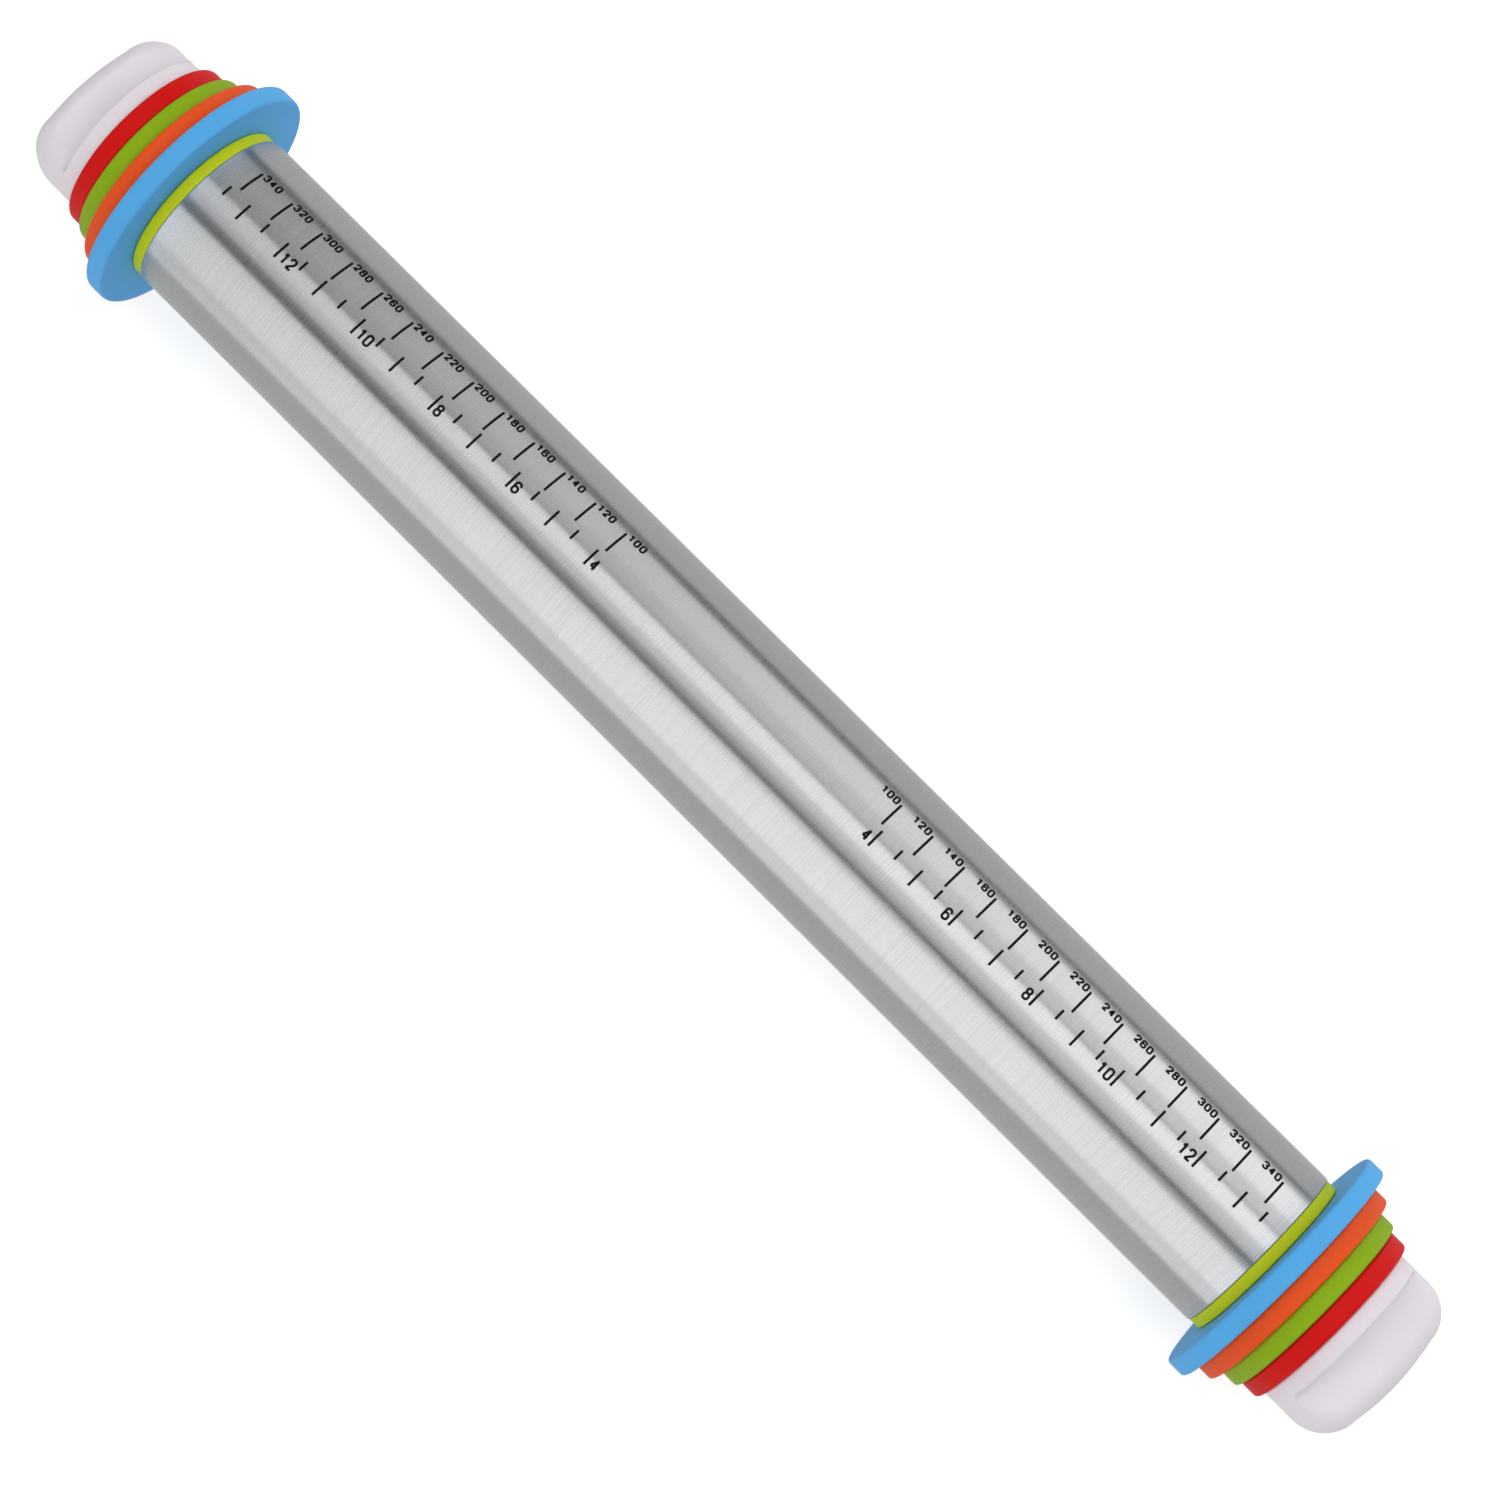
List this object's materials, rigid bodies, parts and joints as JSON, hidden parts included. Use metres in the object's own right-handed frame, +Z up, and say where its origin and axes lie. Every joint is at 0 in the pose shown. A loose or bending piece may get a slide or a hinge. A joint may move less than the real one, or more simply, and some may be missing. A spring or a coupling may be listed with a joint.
{
  "type": "adjustable rolling pin",
  "caption": "Steel rolling pin with screw-in handles that clamp removable spacer rings at each end, which set the thickness of the dough.",
  "frame": {"origin": "under the middle of the pin, on the surface that the two 10 mm rings stand on", "axes": "+X along the pin towards its right handle, +Z up, +Y across the pin"},
  "size_m": [0.4304, 0.0646, 0.0646],
  "materials": {
    "steel_tube": "brushed stainless steel, fine scratches round the tube, ruler printed in black",
    "lime_plastic": "moulded lime green plastic, satin",
    "blue_plastic": "moulded blue plastic, satin",
    "orange_plastic": "moulded orange plastic, satin",
    "green_plastic": "moulded green plastic, satin",
    "red_plastic": "moulded red plastic, satin",
    "white_plastic": "moulded off-white plastic, satin",
    "seal_rubber": "black silicone rubber",
    "screw_steel": "stainless steel"
  },
  "bodies": {
    "roller": {"roller_tube": "steel_tube", "end_plug_left": "lime_plastic", "plug_seal_left": "seal_rubber", "end_plug_right": "lime_plastic", "plug_seal_right": "seal_rubber"},
    "spacer_10mm_left": {"ring_10mm_left": "blue_plastic"},
    "spacer_6mm_left": {"ring_6mm_left": "orange_plastic"},
    "spacer_3mm_left": {"ring_3mm_left": "green_plastic"},
    "spacer_2mm_left": {"ring_2mm_left": "red_plastic"},
    "handle_left": {"handle_left": "white_plastic", "stud_left": "white_plastic", "stud_screw_left": "screw_steel"},
    "spacer_10mm_right": {"ring_10mm_right": "blue_plastic"},
    "spacer_6mm_right": {"ring_6mm_right": "orange_plastic"},
    "spacer_3mm_right": {"ring_3mm_right": "green_plastic"},
    "spacer_2mm_right": {"ring_2mm_right": "red_plastic"},
    "handle_right": {"handle_right": "white_plastic", "stud_right": "white_plastic", "stud_screw_right": "screw_steel"}
  },
  "joints": [
    {"name": "ring_10mm_slide_left", "type": "slide", "parent": "roller", "child": "spacer_10mm_left", "axis": [-1, 0, 0], "range_m": [0, 0.00596]},
    {"name": "ring_6mm_slide_left", "type": "slide", "parent": "roller", "child": "spacer_6mm_left", "axis": [-1, 0, 0], "range_m": [0, 0.01189]},
    {"name": "ring_3mm_slide_left", "type": "slide", "parent": "roller", "child": "spacer_3mm_left", "axis": [-1, 0, 0], "range_m": [0, 0.01783]},
    {"name": "handle_travel_left", "type": "slide", "parent": "roller", "child": "spacer_2mm_left", "axis": [-1, 0, 0], "range_m": [0, 0.02377]},
    {"name": "handle_turn_left", "type": "hinge", "parent": "spacer_2mm_left", "child": "handle_left", "pos_m": [-0.1952, 0, 0.0323], "axis": [-1, 0, 0], "range_deg": [0, 1710]},
    {"name": "ring_10mm_slide_right", "type": "slide", "parent": "roller", "child": "spacer_10mm_right", "axis": [1, 0, 0], "range_m": [0, 0.00596]},
    {"name": "ring_6mm_slide_right", "type": "slide", "parent": "roller", "child": "spacer_6mm_right", "axis": [1, 0, 0], "range_m": [0, 0.01189]},
    {"name": "ring_3mm_slide_right", "type": "slide", "parent": "roller", "child": "spacer_3mm_right", "axis": [1, 0, 0], "range_m": [0, 0.01783]},
    {"name": "handle_travel_right", "type": "slide", "parent": "roller", "child": "spacer_2mm_right", "axis": [1, 0, 0], "range_m": [0, 0.02377]},
    {"name": "handle_turn_right", "type": "hinge", "parent": "spacer_2mm_right", "child": "handle_right", "pos_m": [0.1952, 0, 0.0323], "axis": [1, 0, 0], "range_deg": [0, 1710]}
  ],
  "couplings": [
    {"joint": "ring_10mm_slide_left", "follows": "handle_turn_left", "m_per_rad": 0.00019894},
    {"joint": "ring_6mm_slide_left", "follows": "handle_turn_left", "m_per_rad": 0.00039789},
    {"joint": "ring_3mm_slide_left", "follows": "handle_turn_left", "m_per_rad": 0.00059683},
    {"joint": "handle_travel_left", "follows": "handle_turn_left", "m_per_rad": 0.00079577},
    {"joint": "ring_10mm_slide_right", "follows": "handle_turn_right", "m_per_rad": 0.00019894},
    {"joint": "ring_6mm_slide_right", "follows": "handle_turn_right", "m_per_rad": 0.00039789},
    {"joint": "ring_3mm_slide_right", "follows": "handle_turn_right", "m_per_rad": 0.00059683},
    {"joint": "handle_travel_right", "follows": "handle_turn_right", "m_per_rad": 0.00079577}
  ]
}
